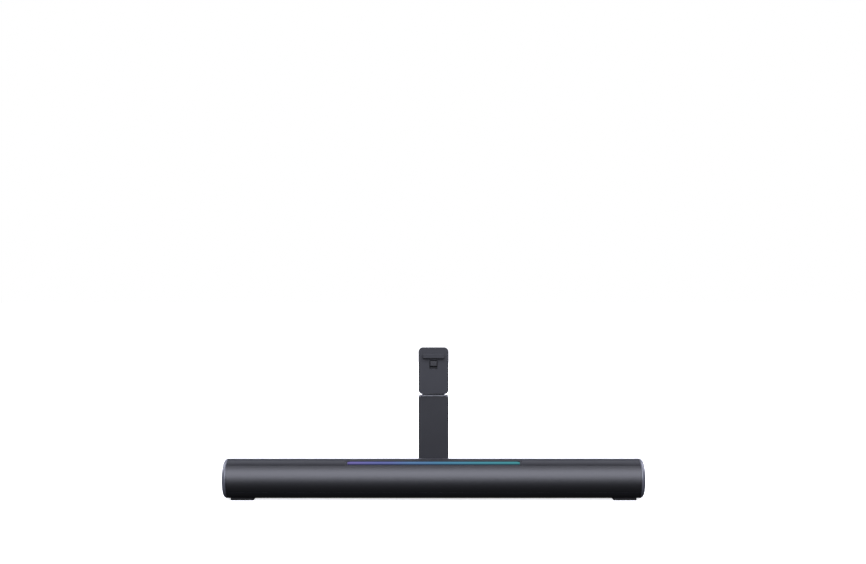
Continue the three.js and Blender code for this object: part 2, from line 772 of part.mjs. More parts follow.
// ---------------------------------------------------------------- the tilting head
function hingeBracket() {
  const plugX = coreWidth / 2 - core.wall - gap;
  const plugY = coreDepth / 2 - core.wall - gap;
  const seat = neck.top + core.proud + gap;
  const plugZ = [seat - bracket.plugDepth, seat + 1];
  const plug = box([-plugX, plugX], [neckY - plugY, neckY + plugY], plugZ);
  const flangeTop = seat + bracket.flange;
  const earY = [neckY - hinge.earRadius, neckY + hinge.earRadius];
  const flange = box([-earOuter, earOuter], earY, [seat, flangeTop]);
  const ears = [];
  const holes = [];
  for (const [, sign] of sides) {
    const span = [sign * earInner, sign * earOuter].sort((a, b) => a - b);
    ears.push(box(span, earY, [seat, hinge.z]));
    ears.push(rodX(hinge.earRadius, ...span, neckY, hinge.z, 32));
    holes.push(rodX(hinge.pin + hinge.play, span[0] - 1, span[1] + 1, neckY, hinge.z));
  }
  place("hinge_bracket", combine(plug, { join: [flange, ...ears], cut: holes }), finishes.steel);
}

function hingeHardware() {
  const endX = earOuter + gap + pinEnd.length;
  const shaft = rodX(hinge.pin, -endX, endX, neckY, hinge.z);
  const pinHead = rodX(pinEnd.radius, -endX, -earOuter - gap, neckY, hinge.z, 16);
  place("hinge_pin", combine(shaft, { join: [pinHead] }), finishes.steel);
  const nut = rodX(pinEnd.radius, earOuter + gap, endX, neckY, hinge.z, 6);
  const nutBore = rodX(hinge.pin + gap, earOuter, endX + 1, neckY, hinge.z);
  place("hinge_nut", combine(nut, { cut: [nutBore] }), finishes.steel);
  for (const [side, sign] of sides) {
    const span = [sign * (earInner - gap), sign * (earInner - gap - washer.thickness)];
    span.sort((a, b) => a - b);
    const disc = rodX(washer.radius, ...span, neckY, hinge.z);
    const bore = rodX(hinge.pin + gap, span[0] - 1, span[1] + 1, neckY, hinge.z);
    place(`${side}_friction_washer`, combine(disc, { cut: [bore] }), finishes.copper);
  }
}

const knuckleHalf = earInner - gap * 2 - washer.thickness;

// The knuckle on the pin, its arm, and the plate with the ledge that the monitor hangs on.
function tiltHead() {
  const halfX = neck.width / 2;
  const face = roundedRect(-halfX, halfX, headPlate.low, headPlate.high, headPlate.corner);
  const options = { depth: headPlate.thickness, bevelEnabled: false, curveSegments: 5 };
  const board = new THREE.ExtrudeGeometry(face, options);
  board.rotateX(Math.PI / 2).translate(0, headBack, 0);
  const arm = box([-knuckleHalf, knuckleHalf], [headBack - 1, neckY], [knuckle.armLow, knuckle.armHigh]);
  const barrel = rodX(knuckle.radius, -knuckleHalf, knuckleHalf, neckY, hinge.z, 32);
  const span = [-hook.width / 2, hook.width / 2];
  const tip = headFront - hook.reach - hook.lip;
  const low = hook.z - hook.lip;
  const shelf = box(span, [tip, headFront + 1], [low, hook.z]);
  const lip = box(span, [tip, headFront - hook.reach], [low, low + hook.height]);
  const bore = rodX(hinge.pin + hinge.play, -knuckleHalf - 1, knuckleHalf + 1, neckY, hinge.z);
  const window = box(
    [-nose.width / 2 - gap, nose.width / 2 + gap],
    [headFront - 1, headBack + 1],
    [noseLow() - latch.stroke - gap, noseLow() + nose.height + gap],
  );
  const join = [arm, barrel, shelf, lip];
  place("tilt_head", combine(board, { join, cut: [bore, window] }), finishes.darkMetal);
}

function noseLow() {
  return latch.low + latch.noseRise;
}

// A cover over the hinge that tilts with the head: open below and in front.
function headCover() {
  const halfX = neck.width / 2;
  const { wall, low, high, rear } = shroud;
  const front = headBack + gap;
  const body = box([-halfX, halfX], [front, neckY + rear], [low, high]);
  const roomX = halfX - wall;
  const room = box([-roomX, roomX], [front - 1, neckY + rear - wall], [low - 1, high - wall]);
  place("head_cover", combine(body, { cut: [room] }), finishes.shell);
}

function releaseLatch() {
  const back = headBack + gap;
  const padHalf = latch.width / 2;
  const padZ = [latch.low, latch.low + latch.height];
  const pressPad = box([-padHalf, padHalf], [back, back + latch.thickness], padZ);
  const low = noseLow();
  const noseHalf = nose.width / 2;
  const stem = box([-noseHalf, noseHalf], [headFront - nose.reach, back + 1], [low, low + nose.height]);
  place("release_latch", combine(pressPad, { join: [stem] }), finishes.plastic);

  const height = latch.low - shroud.high - 2 * gap;
  place("release_spring", springGeometry(height), finishes.steel).position.set(
    0,
    back + latch.thickness / 2,
    shroud.high + gap,
  );
}

class Helix extends THREE.Curve {
  constructor(radius, height, turns) {
    super();
    Object.assign(this, { radius, height, turns });
  }

  getPoint(t, target = new THREE.Vector3()) {
    const turn = t * this.turns * Math.PI * 2;
    return target.set(this.radius * Math.cos(turn), this.radius * Math.sin(turn), t * this.height);
  }
}

function springGeometry(height) {
  const rise = height - 2 * spring.wire;
  const helix = new Helix(spring.radius, rise, spring.turns);
  return wireAlong(helix, spring.wire, spring.turns * 8, 5).translate(0, 0, spring.wire);
}

// ---------------------------------------------------------------- assembly
barSkins();
endCaps();
chassisBeam();
mountBlock();
lightStrip();
touchFilm();
speakers();
ampBoard();
heatSpreader();
socketPorts();
frontFeet();
rearFeet();
basePlate();
plateScrews();
neckSocket();
neckCore();
neckCover("neck_front_cover", -1);
neckCover("neck_rear_cover", 1);
hingeBracket();
hingeHardware();
tiltHead();
headCover();
releaseLatch();

export default root;
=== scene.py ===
"""The looks of a light bar with speakers that is the foot of a monitor stand.

Metres, +Z up, and the bar's front faces -Y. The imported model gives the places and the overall
sizes. The values below add only what it doesn't hold, such as seams, small radii and finishes.
"""
import json
import math

import bmesh
import bpy
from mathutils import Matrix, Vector


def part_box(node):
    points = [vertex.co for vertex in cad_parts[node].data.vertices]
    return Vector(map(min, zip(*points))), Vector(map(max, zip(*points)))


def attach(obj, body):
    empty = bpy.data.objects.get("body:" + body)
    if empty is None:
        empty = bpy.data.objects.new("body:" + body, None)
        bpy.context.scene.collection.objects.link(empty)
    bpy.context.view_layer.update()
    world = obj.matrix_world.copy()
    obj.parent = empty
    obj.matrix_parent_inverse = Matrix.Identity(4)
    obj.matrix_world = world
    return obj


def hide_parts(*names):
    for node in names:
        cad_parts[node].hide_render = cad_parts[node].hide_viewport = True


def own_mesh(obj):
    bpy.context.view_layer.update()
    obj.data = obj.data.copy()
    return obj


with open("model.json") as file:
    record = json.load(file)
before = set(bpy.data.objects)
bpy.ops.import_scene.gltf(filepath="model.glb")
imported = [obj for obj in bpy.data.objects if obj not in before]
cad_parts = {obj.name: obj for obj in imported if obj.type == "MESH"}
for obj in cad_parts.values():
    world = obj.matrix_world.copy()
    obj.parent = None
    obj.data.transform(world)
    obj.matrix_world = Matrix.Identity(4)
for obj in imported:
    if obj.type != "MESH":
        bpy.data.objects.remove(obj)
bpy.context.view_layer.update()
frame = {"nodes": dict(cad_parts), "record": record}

MM = 0.001

# ------------------------------------------------------------------ sizes from the frame
CAP_LOW, CAP_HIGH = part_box("right_end_cap")
RADIUS = (CAP_HIGH.z - CAP_LOW.z) / 2
AXIS_Y = (CAP_HIGH.y + CAP_LOW.y) / 2
AXIS_Z = (CAP_HIGH.z + CAP_LOW.z) / 2
BAR_HALF = CAP_HIGH.x
SKIN_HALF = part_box("front_grille")[1].x
STRIP_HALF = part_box("light_guide")[1].x
BEZEL_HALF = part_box("light_bezel")[1].x
BEZEL_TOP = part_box("light_bezel")[1].z

# ------------------------------------------------------------------ sizes of the fine detail
SEAM = 0.35 * MM  # the gap between two skins, and between a skin and a cap
FIT = 0.3 * MM  # the gap round something that sits in a hole or a tube
WALL = 1.6 * MM
SKIN_CORNER = 0.07 * MM
TONGUE_HALF = 55.5 * MM  # half the slot that lets the base plate's tongue into the bar

CAP_RIM = BAR_HALF - SKIN_HALF - SEAM
CAP_FILLET = 4.1 * MM
CAP_FILLET_END = math.radians(84)
CAP_DOME = 1 * MM
CAP_EDGE = 0.25 * MM
SPIGOT_WALL = 1.8 * MM
SPIGOT_LENGTH = 6 * MM

STRIP_TURNS = (math.radians(50.2), math.radians(66))  # its two long edges, up from the front
STRIP_MIDDLE = (STRIP_TURNS[0] + STRIP_TURNS[1]) / 2
STRIP_REACH = (STRIP_TURNS[1] - STRIP_TURNS[0]) / 2 * RADIUS
STRIP_SINK = 0.25 * MM  # how far the strip's face lies below the skins
STRIP_DEPTH = 3 * MM
STRIP_CORNER = 1.1 * MM
STRIP_CROWN = 0.12 * MM  # how far the face falls at its long edges
BEZEL_BORDER = 0.62 * MM  # how far the frame reaches past the strip's long edges
BEZEL_LIP = 0.42 * MM  # how wide the frame is there
BEZEL_GAP = 0.25 * MM  # between the frame and the strip's ends
BEZEL_CORNER = 1.5 * MM
BEZEL_DEPTH = 1.5 * MM
NOTCH_CORNER = 1.6 * MM

SPRING_WIRE = 0.35 * MM
SPRING_TURNS = 5


def turn_at_height(z, r=RADIUS, rear=False):
    """The angle round the bar, from the front up, at a height on a circle of that radius."""
    angle = math.asin(max(-1, min(1, (z - AXIS_Z) / r)))
    return math.pi - angle if rear else angle


def turn_at_depth(y):
    """The same on the upper half of the skins' circle, from how far back the point lies."""
    return math.acos(max(-1, min(1, -(y - AXIS_Y) / RADIUS)))


GRILLE_TURNS = tuple(turn_at_height(corner.z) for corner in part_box("front_grille"))
TOP_TURNS = (
    turn_at_height(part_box("top_shell")[0].z, RADIUS - WALL),
    turn_at_depth(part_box("top_shell")[1].y),
)
REAR_TURNS = (
    TOP_TURNS[1] + SEAM / RADIUS,
    turn_at_height(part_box("rear_shell")[0].z, RADIUS - WALL, rear=True),
)
BOTTOM_TURNS = (
    REAR_TURNS[1] + SEAM / RADIUS,
    GRILLE_TURNS[0] + 2 * math.pi - SEAM / RADIUS,
)
BEZEL_TOP_TURN = turn_at_height(BEZEL_TOP)


def on_bar(x, turn, r):
    """A point on a circle round the bar's axis."""
    return Vector((x, AXIS_Y - r * math.cos(turn), AXIS_Z + r * math.sin(turn)))


# ------------------------------------------------------------------ mesh helpers
SMOOTH_SKIN = math.radians(35)
SMOOTH_BEVEL = math.radians(40)
SMOOTH_STRIP = math.radians(50)
CAD_MERGE = 2e-6
CAD_FLAT = math.radians(0.5)


def new_object(name, vertices, faces, uv=None, smooth=True):
    mesh = bpy.data.meshes.new(name)
    mesh.from_pydata([tuple(v) for v in vertices], [], faces)
    mesh.update()
    if uv:
        layer = mesh.uv_layers.new(name="UVMap")
        for loop in mesh.loops:
            layer.data[loop.index].uv = uv[loop.vertex_index]
    if smooth:
        mesh.polygons.foreach_set("use_smooth", [True] * len(mesh.polygons))
    obj = bpy.data.objects.new(name, mesh)
    bpy.context.scene.collection.objects.link(obj)
    return obj


def fix_normals(obj):
    shape = bmesh.new()
    shape.from_mesh(obj.data)
    bmesh.ops.recalc_face_normals(shape, faces=shape.faces)
    shape.to_mesh(obj.data)
    shape.free()


def apply_modifiers(obj):
    bpy.context.view_layer.update()
    graph = bpy.context.evaluated_depsgraph_get()
    mesh = bpy.data.meshes.new_from_object(obj.evaluated_get(graph), depsgraph=graph)
    obj.modifiers.clear()
    obj.data = mesh
    return obj


def soften(obj, width, segments=2, angle=30):
    """Rounds the edges sharper than the angle and shades the rest smooth, flat faces kept flat."""
    bevel = obj.modifiers.new("edge", "BEVEL")
    bevel.width = width
    bevel.segments = segments
    bevel.limit_method = "ANGLE"
    bevel.angle_limit = math.radians(angle)
    apply_modifiers(obj)
    mesh = obj.data
    mesh.polygons.foreach_set("use_smooth", [True] * len(mesh.polygons))
    mesh.set_sharp_from_angle(angle=SMOOTH_BEVEL)
    weigh = obj.modifiers.new("flat", "WEIGHTED_NORMAL")
    weigh.weight = 100
    weigh.keep_sharp = True
    apply_modifiers(obj)
    return obj


def cut(obj, tools):
    """Takes each tool's shape out of the object, and the tools out of the scene."""
    for tool in tools:
        boolean = obj.modifiers.new("cut", "BOOLEAN")
        boolean.operation = "DIFFERENCE"
        boolean.solver = "EXACT"
        boolean.object = tool
    apply_modifiers(obj)
    for tool in tools:
        bpy.data.objects.remove(tool)
    return obj


def refined(node, width, segments):
    """A CAD node's own shape with its flat faces joined up and its edges rounded."""
    mesh = frame["nodes"][node].data.copy()
    shape = bmesh.new()
    shape.from_mesh(mesh)
    bmesh.ops.remove_doubles(shape, verts=shape.verts, dist=CAD_MERGE)
    bmesh.ops.dissolve_limit(shape, angle_limit=CAD_FLAT, verts=shape.verts, edges=shape.edges)
    shape.to_mesh(mesh)
    shape.free()
    mesh.materials.clear()
    obj = bpy.data.objects.new(node + "_piece", mesh)
    bpy.context.scene.collection.objects.link(obj)
    return soften(obj, width, segments)


BODIES = frame["record"]["behaviour"]["bodies"]
BODY_OF = {node: body for body, nodes in BODIES.items() for node in nodes}
SLOT_OF = {part["node"]: part["material_slot"] for part in frame["record"]["subparts"]}


def stand_for(obj, node, material):
    """Gives a piece its finish and lets it take a CAD node's place."""
    obj.data.materials.clear()
    obj.data.materials.append(material)
    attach(obj, BODY_OF[node])
    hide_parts(node)
    return obj


def prism_tool(near, far):
    """A closed cutting tool between two rings with the same number of points."""
    size = len(near)
    faces = [(i, (i + 1) % size, size + (i + 1) % size, size + i) for i in range(size)]
    faces += [tuple(reversed(range(size))), tuple(range(size, 2 * size))]
    tool = new_object("tool", near + far, faces, smooth=False)
    fix_normals(tool)
    return tool


def box_tool(low, high):
    xs, ys, zs = zip(low, high)
    vertices = [(x, y, z) for x in xs for y in ys for z in zs]
    faces = [(0, 1, 3, 2), (4, 6, 7, 5), (0, 4, 5, 1), (2, 3, 7, 6), (0, 2, 6, 4), (1, 5, 7, 3)]
    return new_object("tool", vertices, faces, smooth=False)


def band_section(turns, outer, inner, corner, step=0.035, rounds=2):
    """A skin's section as (turn, radius) points, with its two outer edges rounded."""
    start, end = turns
    count = max(4, round((end - start) / step))
    edge = []
    for i in range(rounds + 1):
        bend = i / rounds * math.pi / 2
        turn = corner / outer * (1 - math.sin(bend))
        edge.append((turn, outer - corner * (1 - math.cos(bend))))
    points = [(start + turn, radius) for turn, radius in reversed(edge)]
    points += [(start + (end - start) * i / count, outer) for i in range(1, count)]
    points += [(end - turn, radius) for turn, radius in edge]
    points.append((end, inner))
    points += [(end - (end - start) * i / count, inner) for i in range(1, count)]
    points.append((start, inner))
    return points


def band(name, turns, corner=SKIN_CORNER, columns=60):
    """A skin of the bar between two angles, with UVs in millimetres along it and round it."""
    section = band_section(turns, RADIUS, RADIUS - WALL, corner)
    size = len(section)
    vertices, uv, faces = [], [], []
    for column in range(columns + 1):
        x = -SKIN_HALF + 2 * SKIN_HALF * column / columns
        for turn, radius in section:
            vertices.append(on_bar(x, turn, radius))
            uv.append((x / MM, turn * RADIUS / MM))
    for column in range(columns):
        for i in range(size):
            a = column * size + i
            b = column * size + (i + 1) % size
            faces.append((a, b, b + size, a + size))
    faces.append(tuple(reversed(range(size))))
    faces.append(tuple(range(columns * size, columns * size + size)))
    obj = new_object(name, vertices, faces, uv)
    fix_normals(obj)
    obj.data.set_sharp_from_angle(angle=SMOOTH_SKIN)
    return obj


# ------------------------------------------------------------------ material helpers
class Nodes:
    """Short calls for building one material's nodes."""

    SOCKETS = {
        "color": "Base Color",
        "rough": "Roughness",
        "metal": "Metallic",
        "specular": "Specular IOR Level",
        "emission": "Emission Strength",
    }

    def __init__(self, name):
        self.material = bpy.data.materials.new(name)
        self.material.use_nodes = True
        self.tree = self.material.node_tree
        self.shader = self.tree.nodes["Principled BSDF"]

    def node(self, kind, **settings):
        made = self.tree.nodes.new(kind)
        for key, value in settings.items():
            setattr(made, key, value)
        return made

    def link(self, source, target):
        self.tree.links.new(source, target)

    def constant(self, **values):
        for key, value in values.items():
            socket = self.shader.inputs[self.SOCKETS[key]]
            socket.default_value = (*value, 1) if key == "color" else value

    def noise(self, scale, detail=3, stretch=(1, 1, 1), source="Object"):
        place = self.node("ShaderNodeTexCoord")
        mapping = self.node("ShaderNodeMapping")
        mapping.inputs["Scale"].default_value = stretch
        noise = self.node("ShaderNodeTexNoise")
        noise.inputs["Scale"].default_value = scale
        noise.inputs["Detail"].default_value = detail
        self.link(place.outputs[source], mapping.inputs["Vector"])
        self.link(mapping.outputs["Vector"], noise.inputs["Vector"])
        return noise.outputs["Fac"]

    def math(self, operation, first, second=None, clamp=False):
        made = self.node("ShaderNodeMath", operation=operation, use_clamp=clamp)
        for socket, value in zip(made.inputs, (first, second)):
            if value is None:
                continue
            if isinstance(value, (int, float)):
                socket.default_value = value
            else:
                self.link(value, socket)
        return made.outputs["Value"]

    def ramp(self, factor, stops, interpolation="LINEAR"):
        made = self.node("ShaderNodeValToRGB")
        made.color_ramp.interpolation = interpolation
        elements = made.color_ramp.elements
        while len(elements) < len(stops):
            elements.new(0.5)
        for element, (position, color) in zip(elements, stops):
            element.position = position
            element.color = (*color, 1)
        self.link(factor, made.inputs["Fac"])
        return made.outputs["Color"]

    def spread(self, factor, low, high):
        """Maps 0..1 on to a range."""
        made = self.node("ShaderNodeMapRange")
        made.inputs["To Min"].default_value = low
        made.inputs["To Max"].default_value = high
        self.link(factor, made.inputs["Value"])
        return made.outputs["Result"]

    def product(self, first, second):
        """One colour times the other."""
        made = self.node("ShaderNodeMix", data_type="RGBA", blend_type="MULTIPLY")
        made.inputs["Factor"].default_value = 1.0
        self.link(first, made.inputs["A"])
        self.link(second, made.inputs["B"])
        return made.outputs["Result"]

    def bump(self, height, distance, strength):
        made = self.node("ShaderNodeBump")
        made.inputs["Distance"].default_value = distance
        made.inputs["Strength"].default_value = strength
        self.link(height, made.inputs["Height"])
        self.link(made.outputs["Normal"], self.shader.inputs["Normal"])


def tinted(color, factor):
    return tuple(channel * factor for channel in color)


def moulded(name, color, rough, specular=0.5):
    """Satin moulded plastic: a fine spark-eroded grain and faint unevenness in the gloss."""
    nodes = Nodes(name)
    nodes.constant(specular=specular)
    fine = nodes.noise(2600, 2)
    broad = nodes.noise(28, 3)
    shade = nodes.ramp(broad, [(0.3, tinted(color, 0.88)), (0.7, tinted(color, 1.12))])
    nodes.link(shade, nodes.shader.inputs["Base Color"])
    gloss = nodes.spread(broad, rough - 0.04, rough + 0.05)
    nodes.link(gloss, nodes.shader.inputs["Roughness"])
    nodes.bump(fine, 0.02 * MM, 0.6)
    return nodes.material


def metal(name, color, rough, stretch=(1, 1, 1)):
    """Bare metal with drawn or cast streaks."""
    nodes = Nodes(name)
    nodes.constant(metal=1.0)
    streak = nodes.noise(900, 3, stretch)
    shade = nodes.ramp(streak, [(0.3, tinted(color, 0.85)), (0.7, color)])
    nodes.link(shade, nodes.shader.inputs["Base Color"])
    gloss = nodes.spread(streak, rough - 0.08, rough + 0.1)
    nodes.link(gloss, nodes.shader.inputs["Roughness"])
    nodes.bump(streak, 0.02 * MM, 0.5)
    return nodes.material


def powder_coat(name, color):
    """Painted metal with the fine orange-peel of a powder coat."""
    nodes = Nodes(name)
    nodes.constant(specular=0.38)
    peel = nodes.noise(1500, 3)
    broad = nodes.noise(18, 2)
    shade = nodes.ramp(broad, [(0.3, tinted(color, 0.85)), (0.7, tinted(color, 1.15))])
    nodes.link(shade, nodes.shader.inputs["Base Color"])
    nodes.link(nodes.spread(peel, 0.5, 0.66), nodes.shader.inputs["Roughness"])
    nodes.bump(peel, 0.06 * MM, 0.7)
    return nodes.material


def matt_grain(name, color):
    """Rubber or treated paper: matt, with a coarse grain in its colour and its surface."""
    nodes = Nodes(name)
    nodes.constant(specular=0.3)
    grain = nodes.noise(1800, 4)
    shade = nodes.ramp(grain, [(0.35, tinted(color, 0.7)), (0.65, tinted(color, 1.3))])
    nodes.link(shade, nodes.shader.inputs["Base Color"])
    nodes.link(nodes.spread(grain, 0.75, 0.95), nodes.shader.inputs["Roughness"])
    nodes.bump(grain, 0.05 * MM, 0.6)
    return nodes.material


def circuit_board(name):
    """Green solder mask with paler tracks."""
    nodes = Nodes(name)
    place = nodes.node("ShaderNodeTexCoord")
    bricks = nodes.node("ShaderNodeTexBrick")
    bricks.inputs["Scale"].default_value = 180
    bricks.inputs["Mortar Size"].default_value = 0.03
    bricks.inputs["Color1"].default_value = (0.012, 0.09, 0.045, 1)
    bricks.inputs["Color2"].default_value = (0.016, 0.11, 0.055, 1)
    bricks.inputs["Mortar"].default_value = (0.06, 0.2, 0.1, 1)
    nodes.link(place.outputs["Object"], bricks.inputs["Vector"])
    nodes.link(bricks.outputs["Color"], nodes.shader.inputs["Base Color"])
    nodes.constant(rough=0.4)
    return nodes.material


MESH_PITCH = 0.9  # millimetres between the mesh's openings
MESH_SPECULAR = 0.75
# The openings' colour is painted shade: the dark seen through holes that the surface doesn't have.
MESH_OPENING_SHADE = (0.0012, 0.0013, 0.0016)
MESH_WIRE = (0.004, 0.0042, 0.0051)


def mesh_grille(name):
    """A rigid speaker mesh: staggered fine openings, painted dark as shade in holes the surface
    doesn't have, between satin wires, with faint streaks.
    """
    nodes = Nodes(name)
    place = nodes.node("ShaderNodeTexCoord")
    split = nodes.node("ShaderNodeSeparateXYZ")
    nodes.link(place.outputs["UV"], split.inputs["Vector"])
    along, around = split.outputs["X"], split.outputs["Y"]
    # Two waves cross at 45 degrees to the bar. An opening lies wherever both are far from zero.
    wave = 2 * math.pi / MESH_PITCH * 0.7071
    rising = nodes.math("SINE", nodes.math("MULTIPLY", nodes.math("ADD", along, around), wave))
    falling = nodes.math("SINE", nodes.math("MULTIPLY", nodes.math("SUBTRACT", along, around), wave))
    opening = nodes.math("ABSOLUTE", nodes.math("MULTIPLY", rising, falling))
    wire = nodes.spread(opening, 1.0, 0.0)
    # Painted shade where the openings lie, the wires' own colour between them.
    shade = nodes.ramp(wire, [(0.15, MESH_OPENING_SHADE), (0.75, MESH_WIRE)])
    streak = nodes.noise(1, 2, (1.6, 0.02, 1), "UV")
    tone = nodes.ramp(streak, [(0.35, (0.86, 0.86, 0.87)), (0.65, (1.1, 1.1, 1.1))])
    nodes.link(nodes.product(shade, tone), nodes.shader.inputs["Base Color"])
    nodes.link(nodes.spread(wire, 0.54, 0.44), nodes.shader.inputs["Roughness"])
    nodes.constant(specular=MESH_SPECULAR)
    nodes.bump(wire, 0.06 * MM, 0.35)
    return nodes.material


STRIP_GLOW = 0.8

# The strip's colours from its left end to its right, as seen when lit.
STRIP_COLORS = [
    (0.0, (0.170, 0.140, 0.440)),
    (0.2, (0.125, 0.150, 0.420)),
    (0.4, (0.092, 0.222, 0.425)),
    (0.6, (0.062, 0.262, 0.395)),
    (0.8, (0.048, 0.292, 0.350)),
    (1.0, (0.040, 0.310, 0.320)),
]

# How bright the strip is from its lower edge upwards: the dim lower edge is painted shade, standing
# in for the shadow where the strip sits recessed.
STRIP_LOWER_EDGE_SHADE = [(0.1, (0.06, 0.06, 0.06)), (0.34, (0.5, 0.5, 0.5)), (0.48, (1, 1, 1))]


def lit_guide(name):
    """A lit frosted guide, purple at one end and teal at the other, with painted shade dimming its
    lower edge.
    """
    nodes = Nodes(name)
    place = nodes.node("ShaderNodeTexCoord")
    split = nodes.node("ShaderNodeSeparateXYZ")
    nodes.link(place.outputs["UV"], split.inputs["Vector"])
    color = nodes.ramp(split.outputs["X"], STRIP_COLORS, "EASE")
    # The strip's glow, dimmed towards its lower edge by painted shade.
    glow = nodes.ramp(split.outputs["Y"], STRIP_LOWER_EDGE_SHADE)
    nodes.link(nodes.product(color, glow), nodes.shader.inputs["Emission Color"])
    nodes.constant(emission=STRIP_GLOW, rough=0.5, color=(0.006, 0.008, 0.016), specular=0.12)
    return nodes.material


MATERIALS = {
    "grille_mesh": mesh_grille("speaker_mesh"),
    "satin_shell": moulded("satin_shell", (0.0082, 0.0086, 0.0103), 0.4),
    "satin_rim": moulded("satin_rim", (0.07, 0.073, 0.085), 0.33, specular=1.0),
    "light": lit_guide("lit_guide"),
    "aluminium": metal("extruded_aluminium", (0.36, 0.365, 0.38), 0.42, (0.03, 1, 1)),
    "steel": metal("plated_steel", (0.5, 0.51, 0.53), 0.3),
    "painted_steel": powder_coat("powder_coat", (0.018, 0.0185, 0.021)),
    "black_plastic": moulded("black_plastic", (0.008, 0.008, 0.009), 0.5),
    "circuit_board": circuit_board("solder_mask"),
    "rubber": matt_grain("black_rubber", (0.006, 0.006, 0.0065)),
    "bronze": metal("bronze", (0.6, 0.38, 0.18), 0.35),
    "wire": moulded("wire_insulation", (0.3, 0.1, 0.04), 0.45),
    "paper_cone": matt_grain("treated_paper", (0.02, 0.02, 0.021)),
}


# ------------------------------------------------------------------ the bar's skins
def notch_tool():
    """What the top shell leaves out for the light's bezel: rounded at its two upper corners."""
    half = BEZEL_HALF + FIT
    low = (TOP_TURNS[0] - 0.2) * RADIUS
    top = (BEZEL_TOP_TURN + FIT / RADIUS) * RADIUS
    outline = [(-half, low), (half, low)]
    for side, start in ((1, 0), (-1, math.pi / 2)):
        for i in range(7):
            bend = start + i / 6 * math.pi / 2
            x = side * (half - NOTCH_CORNER) + NOTCH_CORNER * math.cos(bend)
            outline.append((x, top - NOTCH_CORNER + NOTCH_CORNER * math.sin(bend)))
    inside, outside = RADIUS - 3 * MM, RADIUS + 2 * MM
    near = [on_bar(x, s / RADIUS, inside) for x, s in outline]
    far = [on_bar(x, s / RADIUS, outside) for x, s in outline]
    return prism_tool(near, far)


def port_tool(node, points=32):
    """The hole for a socket in the rear skin, as a slot with round ends, or round if it is."""
    low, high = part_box(node)
    half_x = (high.x - low.x) / 2 + FIT
    half_z = (high.z - low.z) / 2 + FIT
    centre = (low + high) / 2
    outline = []
    for i in range(points):
        bend = i / points * 2 * math.pi
        x = math.cos(bend) * half_z + math.copysign(half_x - half_z, math.cos(bend))
        outline.append((centre.x + x, centre.z + math.sin(bend) * half_z))
    inside, outside = AXIS_Y + RADIUS * 0.7, AXIS_Y + RADIUS + 2 * MM
    near = [(x, inside, z) for x, z in outline]
    far = [(x, outside, z) for x, z in outline]
    return prism_tool(near, far)


def tongue_tool():
    """The slot in the lower skin for the base plate's tongue."""
    low = (-TONGUE_HALF, AXIS_Y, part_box("base_plate")[0].z - 0.5 * MM)
    high = (TONGUE_HALF, AXIS_Y + RADIUS + MM, AXIS_Z)
    return box_tool(low, high)


def build_skins():
    grille = band("front_mesh", GRILLE_TURNS)
    stand_for(grille, "front_grille", MATERIALS["grille_mesh"])

    top = cut(band("top_band", TOP_TURNS), [notch_tool()])
    soften(top, 0.15 * MM, angle=40)
    stand_for(top, "top_shell", MATERIALS["satin_shell"])

    rear = cut(band("rear_skin", REAR_TURNS), [port_tool("power_inlet"), port_tool("audio_jack")])
    soften(rear, 0.12 * MM, angle=40)
    stand_for(rear, "rear_shell", MATERIALS["satin_shell"])

    bottom = cut(band("bottom_skin", BOTTOM_TURNS, corner=0.02 * MM), [tongue_tool()])
    bottom.data.set_sharp_from_angle(angle=SMOOTH_SKIN)
    stand_for(bottom, "bottom_shell", MATERIALS["satin_shell"])


def revolve_x(name, profile, sign, x0, segments=96):
    """Spins (radius, distance outwards) points round the bar's axis. The first and last lie on it."""
    rings = profile[1:-1]
    vertices = [Vector((x0 + sign * profile[0][1], AXIS_Y, AXIS_Z))]
    for r, h in rings:
        for i in range(segments):
            turn = i / segments * 2 * math.pi
            vertices.append(on_bar(x0 + sign * h, turn, r))
    vertices.append(Vector((x0 + sign * profile[-1][1], AXIS_Y, AXIS_Z)))
    last = len(vertices) - 1
    base = 1 + (len(rings) - 1) * segments
    faces = []
    for i in range(segments):
        j = (i + 1) % segments
        faces.append((0, 1 + i, 1 + j))
        faces.append((last, base + j, base + i))
        for k in range(len(rings) - 1):
            a, b = 1 + k * segments, 1 + (k + 1) * segments
            faces.append((a + i, b + i, b + j, a + j))
    obj = new_object(name, vertices, faces)
    fix_normals(obj)
    obj.data.set_sharp_from_angle(angle=SMOOTH_SKIN)
    return obj


def cap_profile():
    """A cap from its hidden spigot to the middle of its domed face, as (radius, distance)."""
    spigot = RADIUS - WALL - FIT
    shoulder = CAP_RIM - CAP_DOME - CAP_FILLET
    flat = RADIUS - CAP_FILLET
    profile = [(0, 0), (spigot - SPIGOT_WALL, 0), (spigot - SPIGOT_WALL, -SPIGOT_LENGTH)]
    profile += [(spigot, -SPIGOT_LENGTH), (spigot, 0), (RADIUS - CAP_EDGE, 0), (RADIUS, CAP_EDGE)]
    for i in range(9):
        bend = i / 8 * CAP_FILLET_END
        profile.append((flat + CAP_FILLET * math.cos(bend), shoulder + CAP_FILLET * math.sin(bend)))
    for i in range(1, 8):
        share = 1 - i / 8
        profile.append((flat * share, CAP_RIM - CAP_DOME * share * share))
    profile.append((0, CAP_RIM))
    return profile


def build_caps():
    """Each end cap is a rim that carries on the bar's outline, rounded over to a domed disc."""
    for side, sign in (("left", -1), ("right", 1)):
        cap = revolve_x(f"{side}_cap_disc", cap_profile(), sign, sign * (BAR_HALF - CAP_RIM))
        stand_for(cap, f"{side}_end_cap", MATERIALS["satin_rim"])


# ------------------------------------------------------------------ the light strip
def rounded_outline(half_x, half_s, corner, steps=8):
    """Points of a rounded rectangle in (along, around), always the same number."""
    points = []
    corner = max(corner, 0.01 * MM)
    for quarter, (sx, sy) in enumerate(((1, 1), (-1, 1), (-1, -1), (1, -1))):
        for i in range(steps + 1):
            bend = (quarter + i / steps) * math.pi / 2
            x = sx * (half_x - corner) + corner * math.cos(bend)
            points.append((x, sy * (half_s - corner) + corner * math.sin(bend)))
    return points


